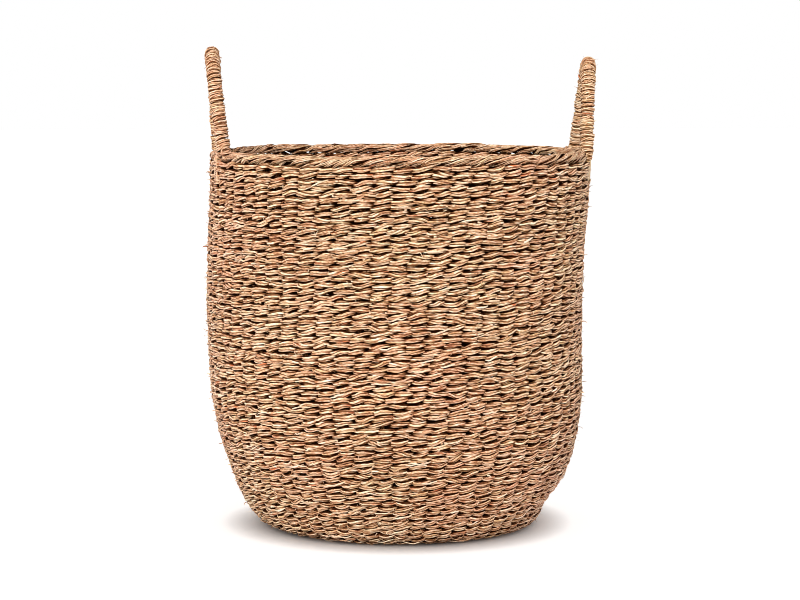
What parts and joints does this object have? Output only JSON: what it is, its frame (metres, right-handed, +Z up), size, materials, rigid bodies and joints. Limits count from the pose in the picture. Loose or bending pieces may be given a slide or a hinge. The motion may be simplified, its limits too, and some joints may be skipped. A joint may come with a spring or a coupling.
{
  "type": "storage basket",
  "caption": "Round deep storage basket twined from seagrass over bent warp cords, with a turned-up heel, a plaited border and upright bound loop handles that flex at the rim.",
  "frame": {"origin": "on the floor under the middle of the base", "axes": "+Z up along the basket's axis, +X towards the right handle, -Y towards the front; the handles stand at -X and +X"},
  "size_m": [0.3864, 0.381, 0.4764],
  "materials": {
    "twined_seagrass": "matte",
    "seagrass_cord": "matte",
    "plaited_seagrass": "matte",
    "wound_cord": "matte",
    "lashing_strand": "matte",
    "cane": "matte"
  },
  "bodies": {
    "basket": {"base_weave": "twined_seagrass", "heel_weave": "twined_seagrass", "lower_side_weave": "twined_seagrass", "middle_side_weave": "twined_seagrass", "upper_side_weave": "twined_seagrass", "border_braid": "plaited_seagrass", "crosswise_cords": "seagrass_cord", "lengthwise_cords": "seagrass_cord", "left_front_leg": "cane", "left_back_leg": "cane", "right_front_leg": "cane", "right_back_leg": "cane", "left_front_lashing": "lashing_strand", "left_back_lashing": "lashing_strand", "right_front_lashing": "lashing_strand", "right_back_lashing": "lashing_strand"},
    "left_handle": {"left_handle_core": "cane", "left_handle_wrap": "wound_cord"},
    "right_handle": {"right_handle_core": "cane", "right_handle_wrap": "wound_cord"}
  },
  "joints": [
    {"name": "left_handle_flex", "type": "hinge", "parent": "basket", "child": "left_handle", "pos_m": [-0.17622, 0, 0.374], "axis": [0, 1, 0], "range_deg": [-12, 20], "stiffness_Nm_per_rad": 2.5},
    {"name": "right_handle_flex", "type": "hinge", "parent": "basket", "child": "right_handle", "pos_m": [0.17622, 0, 0.374], "axis": [0, -1, 0], "range_deg": [-12, 20], "stiffness_Nm_per_rad": 2.5}
  ]
}
